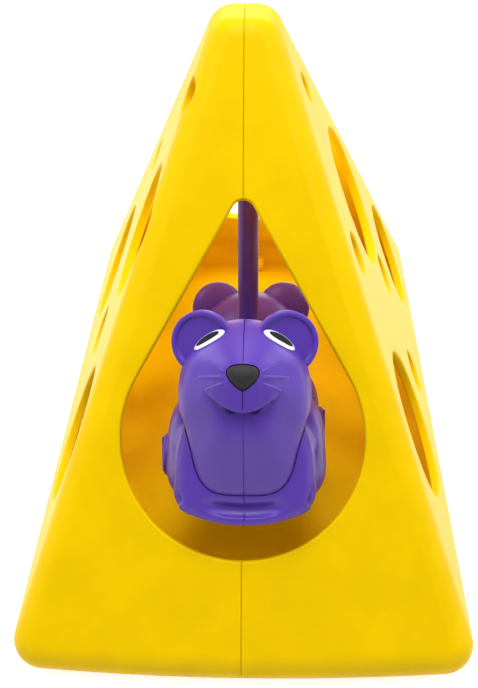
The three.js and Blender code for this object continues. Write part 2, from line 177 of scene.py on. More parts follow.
# Ear and nose: side, forward and drop of each centre; turns and lifts are the angles of their rings
EAR_CENTRE = (11.6 * MM, 40 * MM, 83.7 * MM)
EAR_RADIUS = 9.2 * MM
EAR_THICKNESS = 3.6 * MM
EAR_DOME = 3.2 * MM
EAR_RIM = 1.1 * MM
EAR_EDGE = 0.7 * MM
EAR_DISH = 0.8 * MM
EAR_YAW = math.radians(14)
EAR_SEGMENTS = 96
EAR_TURNS = [math.radians(angle) for angle in np.linspace(2, 90, 18)]
EAR_FLOOR = (0.7, 0.35, 0.02)
NOSE_CENTRE = (0, 57.4 * MM, 90.7 * MM)
NOSE_SIZE = (4.4 * MM, 2.8 * MM, 3.7 * MM)
NOSE_ROUNDNESS = 2.2
NOSE_TAPER = 0.5
NOSE_SPREAD = 0.87
NOSE_SEGMENTS = 72
NOSE_LIFTS = [math.radians(angle) for angle in np.linspace(-85, 85, 35)]

# Treat gate; the slot of its screw is given by half sizes
GATE_CENTRE = (19.5 * MM, 121.7 * MM)
DRUM_RADIUS = 10.4 * MM
DRUM_THICKNESS = 1.4 * MM
DRUM_REACH = 12.5 * MM
DRUM_WEB = 1.8 * MM
DRUM_START = math.radians(45)
DIAL_RADIUS = 6.5 * MM
DIAL_REACH = 25.9 * MM
DIAL_SEAT = 22.1 * MM
DIAL_ROUNDING = 0.9 * MM
DIAL_GRIP = (1.6 * MM, 0.8 * MM)
DIAL_GRIP_INSET = 1 * MM
DIAL_GRIP_ROUNDING = 0.4 * MM
SPINDLE_RADIUS = 2.4 * MM
GATE_BOSS_RADIUS = 8 * MM
GATE_BOSS_DEPTH = 4 * MM
GATE_SCREW_RADIUS = 1 * MM
GATE_SCREW_HEAD = (2 * MM, 1.2 * MM)
GATE_SCREW_LENGTH = 5 * MM
GATE_SCREW_SLOT = (0.5 * MM, 0.25 * MM, 1.1 * MM)
PORT = (12 * MM, 11 * MM)

# Gaps of the seams and of the moving fits, and how far joined forms run into each other
SEAM_GAP = 0.02 * MM
FIT_GAP = 0.3 * MM
BURIED = 0.8 * MM

# Rounding of the pin, the drum and the screw's head
SMALL_ROUNDING = 0.3 * MM

# Width and depth of the grooves in which the seams show
HOUSING_GROOVE = (0.2 * MM, 1 * MM)
MOUSE_GROOVE = (0.24 * MM, 1.5 * MM)

# The swing's rest place: the middle of its range is hanging straight down
SWING_JOINT = next(joint for joint in frame["joints"] if joint["name"] == "swing")
SWING_ANGLE = -math.radians(sum(SWING_JOINT["range_deg"]) / 2)
HANGER_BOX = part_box("hanger")
SIDE_PLAY = (HANGER_BOX[0].x + HANGER_BOX[1].x) / 2
AXLE_HEIGHT = SWING_JOINT["pos_m"][2]

SIDE_LEAN = math.atan2((BASE_WIDTH - RIDGE_WIDTH) / 2, HEIGHT)
FRONT_LEAN = math.atan2((BASE_LENGTH - RIDGE_LENGTH) / 2, HEIGHT)


# Mesh helpers

def new_object(name, mesh):
    """Links a mesh to the scene as an object."""
    obj = bpy.data.objects.new(name, mesh)
    bpy.context.scene.collection.objects.link(obj)
    return obj


def mesh_object(name, points, faces):
    """An object from points and faces, with its faces turned outwards."""
    mesh = bpy.data.meshes.new(name)
    mesh.from_pydata([tuple(point) for point in points], [], faces)
    bm = bmesh.new()
    bm.from_mesh(mesh)
    bmesh.ops.recalc_face_normals(bm, faces=bm.faces)
    bm.to_mesh(mesh)
    bm.free()
    return new_object(name, mesh)


def grid_object(name, rings):
    """A closed skin over rings of equally many points, with a flat end at each end."""
    rings = np.asarray(rings)
    count = rings.shape[1]
    faces = []
    for ring in range(len(rings) - 1):
        for index in range(count):
            following = (index + 1) % count
            a, b = ring * count + index, ring * count + following
            faces.append((a, b, b + count, a + count))
    faces.append(tuple(range(count)))
    faces.append(tuple(range((len(rings) - 1) * count, len(rings) * count)))
    return mesh_object(name, rings.reshape(-1, 3), faces)


def drop_object(obj):
    """Removes an object that only shaped another."""
    bpy.data.objects.remove(obj)


def carve(obj, tool, operation="DIFFERENCE", keep_tool=False):
    """Cuts, joins or crosses an object with a tool object."""
    modifier = obj.modifiers.new("carve", "BOOLEAN")
    modifier.operation = operation
    modifier.solver = "MANIFOLD"
    modifier.object = tool
    bpy.context.view_layer.update()
    evaluated = obj.evaluated_get(bpy.context.evaluated_depsgraph_get())
    result = bpy.data.meshes.new_from_object(evaluated)
    obj.modifiers.clear()
    obj.data = result
    if not keep_tool:
        drop_object(tool)
    return obj


def twin(obj, name):
    """A copy of an object with its own mesh."""
    copy = obj.copy()
    copy.data = obj.data.copy()
    copy.name = name
    bpy.context.scene.collection.objects.link(copy)
    return copy


def smooth(obj, sharp=35):
    """Smooth shading with crisp edges, and normals that follow the large faces."""
    for polygon in obj.data.polygons:
        polygon.use_smooth = True
    obj.data.set_sharp_from_angle(angle=math.radians(sharp))
    weighted = obj.modifiers.new("weighted", "WEIGHTED_NORMAL")
    weighted.keep_sharp = True
    return obj


def circle(centre, radius, segments):
    """Points round a circle, anticlockwise."""
    angles = [2 * math.pi * index / segments for index in range(segments)]
    return [(centre[0] + radius * math.cos(a), centre[1] + radius * math.sin(a)) for a in angles]


def lathe(name, profile, start, axis, segments=48):
    """A turned solid: profile gives (distance along the axis, radius) from start."""
    axis = Vector(axis).normalized()
    turn = Vector((0, 0, 1)).rotation_difference(axis).to_matrix()
    rings = []
    for along, radius in profile:
        ring = []
        for side, height in circle((0, 0), radius, segments):
            ring.append(turn @ Vector((side, height, along)) + Vector(start))
        rings.append(ring)
    return grid_object(name, rings)


def round_bar(name, radius, start, end, rounding=0.0, segments=48):
    """A bar between two points whose end edges are rounded."""
    start, end = Vector(start), Vector(end)
    length = (end - start).length
    profile = [(0, radius), (length, radius)]
    if rounding:
        arcs = [math.radians(angle) for angle in (0, 22.5, 45, 67.5, 90)]
        first = [(rounding * (1 - math.sin(arc)), radius - rounding * (1 - math.cos(arc)))
                 for arc in reversed(arcs)]
        last = [(length - along, reach) for along, reach in reversed(first)]
        profile = first + last
    return lathe(name, profile, start, end - start, segments)


def axle_bar(name, radius, start, end, rounding=0.0):
    """A bar on the axle's line, from one side to the other."""
    return round_bar(name, radius, (start, 0, AXLE_HEIGHT), (end, 0, AXLE_HEIGHT), rounding)


def block(name, low, high):
    """A box between two corners, for cutting."""
    across, along, upward = zip(low, high)
    points = [(x, y, z) for x in across for y in along for z in upward]
    faces = [(0, 1, 3, 2), (4, 5, 7, 6), (0, 1, 5, 4), (2, 3, 7, 6), (0, 2, 6, 4), (1, 3, 7, 5)]
    return mesh_object(name, points, faces)


def halves(obj, names, core, width):
    """The parts of an object left and right of the seam at X = 0; the object itself goes.

    The seam shows as a groove of the given width that goes down to the core.
    """
    far = BASE_LENGTH
    slab = block("slab", (-width / 2, -far, -far), (width / 2, far, far))
    carve(obj, carve(slab, core))
    parts = []
    for side, name in zip((-1, 1), names):
        near = side * SEAM_GAP / 2
        tool = block("half", (min(near, side * far), -far, -far), (max(near, side * far), far, far))
        parts.append(carve(twin(obj, name), tool, "INTERSECT"))
    drop_object(obj)
    return parts


def surface_of(obj):
    """A search tree over an object's faces, for rays."""
    return BVHTree.FromPolygons(
        [vertex.co for vertex in obj.data.vertices],
        [polygon.vertices for polygon in obj.data.polygons],
    )


# Housing

def ball_points(radius, around=48, up=24):
    """Points all over a ball."""
    points = []
    for ring in range(up + 1):
        lift = math.pi * ring / up
        turns = 1 if ring in (0, up) else around
        for index in range(turns):
            angle = 2 * math.pi * index / turns
            points.append((
                radius * math.sin(lift) * math.cos(angle),
                radius * math.sin(lift) * math.sin(angle),
                radius * math.cos(lift),
            ))
    return np.array(points)


def base_inset(lean):
    """How far the centre of the rounding stands in from a sharp base edge under a face that leans."""
    return EDGE_RADIUS * (1 + math.sin(lean)) / math.cos(lean)


def ridge_inset(lean):
    """The same at the sharp edge on top of the face."""
    return EDGE_RADIUS * (1 - math.sin(lean)) / math.cos(lean)


def wedge(name, radius):
    """The wedge as the hull of balls along its edges; a smaller ball gives an even wall inside it."""
    base_half = BASE_WIDTH / 2 - base_inset(SIDE_LEAN)
    base_end = BASE_LENGTH / 2 - base_inset(FRONT_LEAN)
    ridge_half = RIDGE_WIDTH / 2 - ridge_inset(SIDE_LEAN)
    ridge_end = RIDGE_LENGTH / 2 - ridge_inset(FRONT_LEAN)
    centres = []
    for facing in (-1, 1):
        for share in np.linspace(-1, 1, CROWN_STEPS):
            bulge = FACE_CROWN * (1 - share * share)
            centres.append((share * base_half, facing * (base_end + bulge), EDGE_RADIUS))
        for side in (-1, 1):
            centres.append((side * ridge_half, facing * ridge_end, HEIGHT - EDGE_RADIUS))
    bm = bmesh.new()
    for centre in centres:
        for point in ball_points(radius) + np.array(centre):
            bm.verts.new(point)
    hull = bmesh.ops.convex_hull(bm, input=bm.verts)
    inside = hull["geom_interior"] + hull["geom_unused"]
    unused = {item for item in inside if isinstance(item, bmesh.types.BMVert)}
    bmesh.ops.delete(bm, geom=list(unused), context="VERTS")
    bmesh.ops.recalc_face_normals(bm, faces=bm.faces)
    mesh = bpy.data.meshes.new(name)
    bm.to_mesh(mesh)
    bm.free()
    return new_object(name, mesh)


def rim_profile():
    """(outward, deep) steps through the wall, flared by the rim radius at both faces."""
    arcs = [math.radians(angle) for angle in RIM_ANGLES]
    flare = [(RIM_RADIUS * (1 - math.cos(a)), RIM_RADIUS * (1 - math.sin(a))) for a in arcs]
    lead = (flare[0][0] + RIM_RADIUS / 2, flare[0][1] - RIM_RADIUS / 10)
    outer = [(lead[0], -WALL), lead, *flare]
    inner = [(outward, WALL - deep) for outward, deep in reversed(outer)]
    return outer + inner


def wall_cutter(name, outline, place, surface):
    """A closed cutter through a wall along an outline in a face, which rounds both edges of the hole."""
    outline = np.array(outline)
    tangent = np.roll(outline, -1, 0) - np.roll(outline, 1, 0)
    outward = np.stack([tangent[:, 1], -tangent[:, 0]], 1)
    outward /= np.linalg.norm(tangent, axis=1)[:, None]
    normal = place.to_3x3() @ Vector((0, 0, 1))
    rings = []
    for reach, deep in rim_profile():
        ring = []
        for u, v in outline + outward * reach:
            above = place @ Vector((u, v, EDGE_RADIUS))
            hit = surface.ray_cast(above, -normal)[0]
            ring.append((hit or place @ Vector((u, v, 0))) - normal * deep)
        rings.append(ring)
    return grid_object(name, rings)


def face_place(origin, along, up):
    """The matrix that takes (along, up, out) in a face to the world."""
    along, up = Vector(along).normalized(), Vector(up).normalized()
    out = along.cross(up)
    matrix = Matrix((along, up, out)).transposed().to_4x4()
    return Matrix.Translation(Vector(origin)) @ matrix


def arc_points(height, radius, start, end, steps):
    """Points on an arc about the middle line of a face."""
    angles = np.linspace(start, end, steps)
    return [(radius * math.cos(angle), height + radius * math.sin(angle)) for angle in angles]


def teardrop(steps=72):
    """The teardrop's outline: a large arc below and a small one at the tip, joined by tangents."""
    rise = TEARDROP_APEX - TEARDROP_TIP_RADIUS - TEARDROP_CENTRE
    lean = math.asin((TEARDROP_RADIUS - TEARDROP_TIP_RADIUS) / rise)
    bowl = arc_points(TEARDROP_CENTRE, TEARDROP_RADIUS, math.pi - lean, 2 * math.pi + lean, steps)
    tip = arc_points(TEARDROP_CENTRE + rise, TEARDROP_TIP_RADIUS, lean, math.pi - lean, steps // 5)
    right = [tuple(point) for point in np.linspace(bowl[-1], tip[0], steps // 3)[1:-1]]
    left = [tuple(point) for point in np.linspace(tip[-1], bowl[0], steps // 3)[1:-1]]
    return bowl + right + tip + left


def peg_places():
    """Where the pegs stand on the seam: low in the corners and under the ridge."""
    low = (BASE_LENGTH / 2 - base_inset(FRONT_LEAN), WALL + PEG_BOSS_RADIUS - BURIED)
    high_z = AXLE_HEIGHT - PEG_DROP
    inner = BASE_LENGTH / 2 - high_z * math.tan(FRONT_LEAN) - WALL / math.cos(FRONT_LEAN)
    high = (inner - (PEG_BOSS_RADIUS - BURIED) / math.cos(FRONT_LEAN), high_z)
    return [(facing * end, height) for end, height in (low, high) for facing in (-1, 1)]


def housing():
    """Both halves of the hollow wedge."""
    shell = wedge("housing", EDGE_RADIUS)
    surface = surface_of(shell)
    carve(shell, wedge("hollow", EDGE_RADIUS - WALL))
    boss_start = ROD_RADIUS + SIDE_PLAY + WASHER_THICKNESS + 2 * FIT_GAP
    boss_end = BASE_WIDTH / 2 - AXLE_HEIGHT * math.tan(SIDE_LEAN) - EDGE_RADIUS / 4
    for side in (-1, 1):
        carve(shell, axle_bar("boss", AXLE_BOSS_RADIUS, side * boss_start, side * boss_end), "UNION")
    for y, z in peg_places():
        boss = round_bar("boss", PEG_BOSS_RADIUS, (-PEG_BOSS_LENGTH, y, z), (PEG_BOSS_LENGTH, y, z))
        carve(shell, boss, "UNION")
    bore_end = AXLE_REACH + FIT_GAP
    carve(shell, axle_bar("bore", AXLE_RADIUS + FIT_GAP, -bore_end, bore_end))
    for facing in (-1, 1):
        place = face_place(
            (0, facing * BASE_LENGTH / 2, 0),
            (-facing, 0, 0),
            (0, -facing * math.sin(FRONT_LEAN), math.cos(FRONT_LEAN)),
        )
        carve(shell, wall_cutter("teardrop", teardrop(), place, surface))
    for side, holes in ((-1, LEFT_HOLES), (1, RIGHT_HOLES)):
        place = face_place(
            (side * BASE_WIDTH / 2, 0, 0),
            (0, side, 0),
            (-side * math.sin(SIDE_LEAN), 0, math.cos(SIDE_LEAN)),
        )
        for along, up, radius in holes:
            centre = (side * (along - BASE_LENGTH / 2), up)
            segments = HOLE_SEGMENTS["large" if radius > EDGE_RADIUS else "small"]
            carve(shell, wall_cutter("hole", circle(centre, radius, segments), place, surface))
    width, depth = HOUSING_GROOVE
    core = wedge("core", EDGE_RADIUS - depth)
    left, right = halves(shell, ("housing_left_shell", "housing_right_shell"), core, width)
    for y, z in peg_places():
        start, end, deep_end = ((x, y, z) for x in (-PEG_LENGTH, PEG_LENGTH, PEG_LENGTH + FIT_GAP))
        carve(left, round_bar("peg", PEG_RADIUS, start, end, PEG_ROUNDING), "UNION")
        carve(right, round_bar("socket", PEG_RADIUS + FIT_GAP, start, deep_end))
    return left, right


# Mice, built in the swing's frame: the axle is the origin and the rod hangs down -Z

def swing_point(side, forward, drop):
    """A place in the swing's frame."""
    return Vector((side, -forward, -drop))


def swing_bar(name, radius, start, end, rounding=0.0):
    """A bar between two places, each given as (side, forward, drop)."""
    return round_bar(name, radius, swing_point(*start), swing_point(*end), rounding)


def catmull(values, shares):
    """A smooth curve through rows of values, read at shares from 0 to 1."""
    values = np.asarray(values, float)
    ends = (2 * values[0] - values[1], 2 * values[-1] - values[-2])
    padded = np.vstack([ends[0], values, ends[1]])
    place = np.clip(np.asarray(shares), 0, 1) * (len(values) - 1)
    index = np.minimum(place.astype(int), len(values) - 2)
    t = (place - index)[:, None]
    p0, p1, p2, p3 = (padded[index + step] for step in range(4))
    m1, m2 = (p2 - p0) / 2, (p3 - p1) / 2
    return (
        (2 * t ** 3 - 3 * t ** 2 + 1) * p1 + (t ** 3 - 2 * t ** 2 + t) * m1
        + (-2 * t ** 3 + 3 * t ** 2) * p2 + (t ** 3 - t ** 2) * m2
    )


def rounded_section(half_width, half_height, form, segments):
    """Evenly spaced points (side, drop) round a section between an ellipse and a box."""
    angle = np.linspace(0, 2 * np.pi, OVERSAMPLING * segments + 1)
    upper, lower = zip(form["roundness"], form["flare"])
    roundness, flare = np.where(np.sin(angle)[:, None] > 0, lower, upper).T
    power = 2 / roundness
    low = np.sign(np.sin(angle)) * np.abs(np.sin(angle)) ** power
    side = np.sign(np.cos(angle)) * np.abs(np.cos(angle)) ** power * (1 + flare * low)
    side *= 1 - form["taper"] * np.tanh(np.clip(low, 0, 1) / TAPER_REACH)
    rise = form["keel"] * side ** 2 * np.clip(low, 0, 1)
    path = np.stack([half_width * side, half_height * low - rise], 1)
    run = np.concatenate([[0], np.cumsum(np.linalg.norm(np.diff(path, axis=0), axis=1))])
    even = np.linspace(0, run[-1], segments + 1)[:-1]
    return np.stack([np.interp(even, run, path[:, axis]) for axis in (0, 1)], 1)


def loft(name, sections, form, inset, mesh, bulge=0.0):
    """A closed skin over the sections, shrunk by inset; its front end is filled with rings that bulge."""
    segments, steps = mesh
    rings = []
    rows = catmull(sections, np.linspace(0, 1, steps))
    back, front = sections[0, 0] + inset, sections[-1, 0] - inset
    last = -1.0
    for index, (forward, half_width, top, bottom) in enumerate(rows):
        forward = back if index == 0 else front if index == steps - 1 else min(max(forward, back), front)
        if forward <= last:
            continue
        last = forward
        half_height = max((bottom - top) / 2 - inset, SHELL / 2)
        ring = rounded_section(max(half_width - inset, SHELL / 2), half_height, form, segments)
        middle = (top + bottom) / 2
        rings.append([swing_point(side, forward, middle + drop) for side, drop in ring])
    centre = np.mean([tuple(point) for point in rings[-1]], axis=0)
    edge = np.array([tuple(point) for point in rings[-1]])
    fill = steps // 3 if bulge else 0
    for step in range(1, fill):
        share = 1 - step / fill
        ring = centre + (edge - centre) * share
        ring[:, 1] -= bulge * (1 - share ** 2)
        rings.append([Vector(point) for point in ring])
    return grid_object(name, [[tuple(point) for point in ring] for ring in rings])


def path_through(points, count=64):
    """Even points on a smooth curve through a few given as (side, forward, drop)."""
    curve = catmull(np.array(points, float), np.linspace(0, 1, OVERSAMPLING * count))
    run = np.concatenate([[0], np.cumsum(np.linalg.norm(np.diff(curve, axis=0), axis=1))])
    even = np.linspace(0, run[-1], count)
    curve = np.stack([np.interp(even, run, curve[:, axis]) for axis in range(3)], 1)
    return curve * np.array([1, -1, -1])


def both_sides(points):
    """The same points on the left and on the right."""
    return [[(side * x, forward, drop) for x, forward, drop in points] for side in (-1, 1)]


def offsets_from(coords, path):
    """For each vertex, the vector from the nearest point of a path, its length, and that point's share."""
    distance = np.linalg.norm(coords[:, None, :] - path[None, :, :], axis=2)
    nearest = distance.argmin(1)
    return coords - path[nearest], distance[np.arange(len(coords)), nearest], nearest / (len(path) - 1)


def press(obj, path, depth, width, beyond=None, run_out=None):
    """Presses a groove into a skin along a path, or raises a ridge where depth is negative.

    beyond = (direction, depth, length) also sinks the skin on one side of the path, fading with the
    distance. run_out gives the shares of the path at its start and its end over which it all fades away.
    """
    mesh = obj.data
    coords, normals = np.zeros((2, len(mesh.vertices) * 3))
    mesh.vertices.foreach_get("co", coords)
    mesh.vertex_normals.foreach_get("vector", normals)
    coords, normals = coords.reshape(-1, 3), normals.reshape(-1, 3)
    reach = PRESS_REACH * np.ptp(path, axis=0).max()
    near = np.where(np.linalg.norm(coords - path.mean(0), axis=1) < reach)[0]
    offset, distance, share = offsets_from(coords[near], path)
    core = np.exp(-((distance / width) ** 2))
    sink = depth * core
    if beyond:
        direction, extra, length = beyond
        facing = np.clip(offset @ np.array(direction) / np.maximum(distance, MM / 1e6), 0, 1) ** 2
        sink += extra * facing * np.exp(-distance / length) * (1 - core)
    if run_out:
        start, end = np.clip(share / run_out[0], 0, 1), np.clip((1 - share) / run_out[1], 0, 1)
        sink *= np.sin(np.minimum(start, end) * math.pi / 2)
    coords[near] -= normals[near] * sink[:, None]
    mesh.vertices.foreach_set("co", coords.ravel())
    mesh.update()


# Lines over the mouse in millimetres: side, forward and drop
SMILE = [(-10.6, 53.4, 94.6), (-7.9, 55.9, 97.6), (-4.9, 57.4, 99.3), (0, 58.2, 100.4),
         (4.9, 57.4, 99.3), (7.9, 55.9, 97.6), (10.6, 53.4, 94.6)]
WHISKERS = [
    [(5.0, 56.5, 89.2), (7.7, 53.2, 88.2), (10.4, 49.2, 87.8)],
    [(5.1, 57.25, 90.5), (8.7, 54.2, 91.0), (11.9, 50.4, 91.9)],
    [(5.1, 57.6, 92.1), (7.8, 55.9, 93.4), (10.2, 53.6, 94.8)],
]
HAUNCH = [(21.2, 34, 113), (20.9, 36.5, 118), (20.2, 39.5, 122.5), (19, 43, 126.8), (18, 45, 130)]
PAW = [(19.2, 40.5, 130.8), (17.4, 44.5, 130.8)]
LIP = [(-12.5, 45.8, 131.4), (-6.1, 46.6, 132.7), (0, 46.8, 133.1), (6.1, 46.6, 132.7), (12.5, 45.8, 131.4)]
LIP_DROP = 2.4 * MM

# How each line is pressed in: depth, width, and press()'s beyond and run_out
SMILE_EDGE = (0, 0.8 * MM, ((0, 0, 1), -0.9 * MM, 5 * MM), (0.4, 0.4))
SMILE_GROOVE = (2 * MM, 0.6 * MM, ((0, 0, -1), 3 * MM, 4 * MM), (0.4, 0.4))
EYE_RIM = (0.3 * MM, 0.35 * MM)
HAUNCH_CREASE = (2.2 * MM, 1.3 * MM, ((0, 1, 0), 1.4 * MM, 6 * MM), (0.9, 0.1))
PAW_SWELL = (-0.7 * MM, 3 * MM)
LIP_EDGE = (-0.3 * MM, 0.9 * MM, None, (0.25, 0.25))
LIP_HOLLOW = (2.2 * MM, 1.9 * MM, None, (0.35, 0.35))
PRESS_REACH = 2.5
SMILE_STEPS = 128

# Eye and pupil in millimetres: place, directions of the long and the wide half, their lengths, the pupil's
# shift, the gap to the rim round the eye, and how far outside the skin the rays that look for it start
EYE = {"centre": (9.6, 43.4, 82.7), "long": (8.3, -2.6, 5.6), "wide": (-1.0, 2.6, 0.8)}
EYE_HALF = (5.1, 2.9)
PUPIL_HALF = (3.9, 1.85)
PUPIL_SHIFT = (0.3, -0.42)
EYE_RIM_GAP = 0.3
RAY_START = 20

# A print's thickness, how square its edge is, where its middle closes, and the angle its edge stays crisp at
PRINT = 0.1 * MM
PRINT_SQUARENESS = 6
PRINT_MIDDLE = 0.02
PRINT_SHARP = 60

# Whisker: half its width, height, steps along it, how much narrower it ends, the share of its height that it
# starts with and how soon it rises from there, and where its root lies under the skin
WHISKER_HALF = 0.8 * MM
WHISKER_HEIGHT = 0.55 * MM
WHISKER_STEPS = 24
WHISKER_TAPER = 0.3
WHISKER_START = 0.2
WHISKER_RISE = 6
WHISKER_ROOT = (0.7, 0, -0.7)


def metres(points):
    """Points given in millimetres."""
    return [tuple(value * MM for value in point) for point in points]


def eye_frame(side):
    """Centre, long, wide and outward directions of an eye on the left (-1) or right (1)."""
    mirror = np.array([side, 1, 1])
    centre = swing_point(*(np.array(EYE["centre"]) * mirror * MM))
    long, towards = (swing_point(*(np.array(EYE[key]) * mirror)).normalized() for key in ("long", "wide"))
    out = long.cross(towards).normalized()
    if out.y > 0:
        out = -out
    wide = out.cross(long).normalized()
    if wide.dot(towards) < 0:
        wide = -wide
    return centre, long, wide, out


def onto_skin(point, out, surface):
    """Where the skin lies over or under a point, looked at along out."""
    return surface.ray_cast(point + out * RAY_START * MM, -out)[0] or point


def decal(name, side, half, shift, base, surface, around=96, rings=14):
    """A thin domed patch that follows the skin under it and stands a print's thickness above its base."""
    centre, long, wide, out = eye_frame(side)
    origin = centre + long * shift[0] * MM + wide * shift[1] * MM
    layers = []
    shares = np.linspace(1, PRINT_MIDDLE, rings)
    for upper in (False, True):
        for share in shares if upper else shares[::-1]:
            lift = base + PRINT * (1 - share ** PRINT_SQUARENESS) if upper else -PRINT
            ring = []
            for index in range(around):
                angle = 2 * math.pi * index / around
                reach = long * half[0] * math.cos(angle) + wide * half[1] * math.sin(angle)
                skin = onto_skin(origin + reach * share * MM, out, surface)
                ring.append(tuple(skin + out * lift))
            layers.append(ring)
    return smooth(grid_object(name, layers), PRINT_SHARP)


def whisker(points, surface):
    """A low ridge along a whisker, which runs out into the skin at its sides and its far end."""
    path = path_through(metres(points), WHISKER_STEPS)
    rings = []
    for index, point in enumerate(path):
        share = index / (len(path) - 1)
        half = WHISKER_HALF * (1 - WHISKER_TAPER * share)
        height = WHISKER_HEIGHT * math.sqrt(1 - share ** 4) * min(1, WHISKER_START + WHISKER_RISE * share)
        location, normal = surface.find_nearest(Vector(point))[:2]
        ahead = Vector(path[min(index + 1, len(path) - 1)] - path[max(index - 1, 0)]).normalized()
        across = ahead.cross(normal).normalized()
        ridge = [(place, height * math.cos(math.pi * place / 2) ** 2 - WHISKER_HEIGHT / 12)
                 for place in np.linspace(-1, 1, 13)]
        root = [(place, -WHISKER_HEIGHT) for place in WHISKER_ROOT]
        outline = ridge + root
        rings.append([tuple(location + across * half * place + normal * lift) for place, lift in outline])
    return grid_object("whisker", rings)


def ear(side):
    """A round ear with a domed back, a narrow rim and a shallow dish in front."""
    front = EAR_THICKNESS / 2
    back = [(-EAR_DOME * math.cos(a), EAR_RADIUS * math.sin(a)) for a in EAR_TURNS]
    edge = [(front - EAR_EDGE * (1 - math.sin(a)), EAR_RADIUS - EAR_EDGE * (1 - math.cos(a)))
            for a in EAR_TURNS[::3]]
    inner = EAR_RADIUS - EAR_RIM
    dish = [(front - EAR_DISH * (1 - math.cos(math.pi * share)) / 2, inner - EAR_RIM * share)
            for share in np.linspace(0, 1, 9)]
    floor = [(front - EAR_DISH, (inner - EAR_RIM) * share) for share in EAR_FLOOR]
    centre = swing_point(side * EAR_CENTRE[0], *EAR_CENTRE[1:])
    axis = Matrix.Rotation(side * EAR_YAW, 3, "Z") @ Vector((0, -1, 0))
    return lathe("ear", back + edge + dish + floor, centre, axis, EAR_SEGMENTS)


def head_and_eyes():
    """The two halves of the head, with the eyes printed on them."""
    head = loft("head", HEAD_SECTIONS, HEAD_FORM, 0, HEAD_MESH, HEAD_BULGE)
    smile = path_through(metres(SMILE), SMILE_STEPS)
    press(head, smile, *SMILE_EDGE)
    press(head, smile, *SMILE_GROOVE)
    surface = surface_of(head)
    pieces = []
    for side, tag in ((-1, "left"), (1, "right")):
        pieces.append(decal(f"eye_{tag}", side, EYE_HALF, (0, 0), 0, surface))
        pieces.append(decal(f"pupil_{tag}", side, PUPIL_HALF, PUPIL_SHIFT, PRINT, surface))
    for side in (-1, 1):
        centre, long, wide, out = eye_frame(side)
        long_half, wide_half = (half + EYE_RIM_GAP for half in EYE_HALF)
        ring = []
        for angle in np.linspace(0, 2 * math.pi, 96):
            reach = long * long_half * math.cos(angle) + wide * wide_half * math.sin(angle)
            ring.append(tuple(onto_skin(centre + reach * MM, out, surface)))
        press(head, np.array(ring), *EYE_RIM)
    for side in (-1, 1):
        carve(head, ear(side), "UNION")
        for points in WHISKERS:
            line = both_sides(points)[0 if side < 0 else 1]
            carve(head, whisker(line, surface), "UNION")
    carve(head, nose("socket", FIT_GAP))
    width, depth = MOUSE_GROOVE
    core = loft("core", HEAD_SECTIONS, HEAD_FORM, depth, CORE_MESH)
    return [*halves(head, ("head_left", "head_right"), core, width), *pieces]


def nose(name, grow=0.0):
    """A rounded triangle that bulges forward."""
    power = 2 / NOSE_ROUNDNESS
    rings = []
    for lift in NOSE_LIFTS:
        shrink = math.cos(lift)
        ring = []
        for index in range(NOSE_SEGMENTS):
            angle = 2 * math.pi * index / NOSE_SEGMENTS
            across = math.cos(angle)
            up = math.sin(angle)
            side = math.copysign(abs(across) ** power, across) * (1 + NOSE_TAPER * up)
            high = math.copysign(abs(up) ** power, up)
            ring.append(tuple(swing_point(
                NOSE_CENTRE[0] + (NOSE_SIZE[0] + grow) * side * shrink * NOSE_SPREAD,
                NOSE_CENTRE[1] + (NOSE_SIZE[1] + grow) * math.sin(lift),
                NOSE_CENTRE[2] - (NOSE_SIZE[2] + grow) * high * shrink,
            )))
        rings.append(ring)
    return grid_object(name, rings)


def gate_bar(name, radius, start, end, rounding=0.0):
    """A bar across the mouse on the gate's axis."""
    return swing_bar(name, radius, (start, *GATE_CENTRE), (end, *GATE_CENTRE), rounding)


def body():
    """The two halves of the body, hollow, with the belly port and the seats of the gate."""
    shell = loft("body", BODY_SECTIONS, BODY_FORM, 0, BODY_MESH, BODY_BULGE)
    for points, settings in ((HAUNCH, HAUNCH_CREASE), (PAW, PAW_SWELL)):
        for line in both_sides(points):
            press(shell, path_through(metres(line)), *settings)
    lip = path_through(metres(LIP))
    press(shell, lip, *LIP_EDGE)
    press(shell, lip + np.array([0, 0, LIP_DROP]), *LIP_HOLLOW)
    carve(shell, loft("cavity", BODY_SECTIONS, BODY_FORM, SHELL, INNER_MESH))
    boss_end = DIAL_SEAT - GATE_BOSS_DEPTH
    for side in (-1, 1):
        boss = gate_bar("boss", GATE_BOSS_RADIUS, side * boss_end, side * DIAL_REACH)
        outer = loft("outer", BODY_SECTIONS, BODY_FORM, SHELL / 4, INNER_MESH)
        carve(shell, carve(boss, outer, "INTERSECT"), "UNION")
    hub_end = ROD_RADIUS + FIT_GAP + 2 * SHELL
    carve(shell, swing_bar("spigot", SPIGOT_RADIUS + FIT_GAP, (0, 0, HUB_DROP), (0, hub_end, HUB_DROP)))
    low = swing_point(-PORT[0] / 2, GATE_CENTRE[0] + PORT[1] / 2, BODY_SECTIONS[0, 3] + HUB_RADIUS)
    high = swing_point(PORT[0] / 2, GATE_CENTRE[0] - PORT[1] / 2, GATE_CENTRE[1])
    carve(shell, block("port", low, high))
    carve(shell, loft("neck", HEAD_SECTIONS, HEAD_FORM, -FIT_GAP, NECK_MESH))
    carve(shell, gate_bar("seat", DIAL_RADIUS + FIT_GAP, -DIAL_SEAT, -2 * DIAL_REACH))
    carve(shell, gate_bar("bearing", SPINDLE_RADIUS + FIT_GAP, -boss_end + FIT_GAP, -DIAL_REACH))
    stub = gate_bar("stub", SPINDLE_RADIUS, boss_end + BURIED, DRUM_REACH - DRUM_WEB)
    carve(shell, stub, "UNION")
    width, depth = MOUSE_GROOVE
    core = loft("core", BODY_SECTIONS, BODY_FORM, depth, CORE_MESH)
    return halves(shell, ("body_left", "body_right"), core, width)


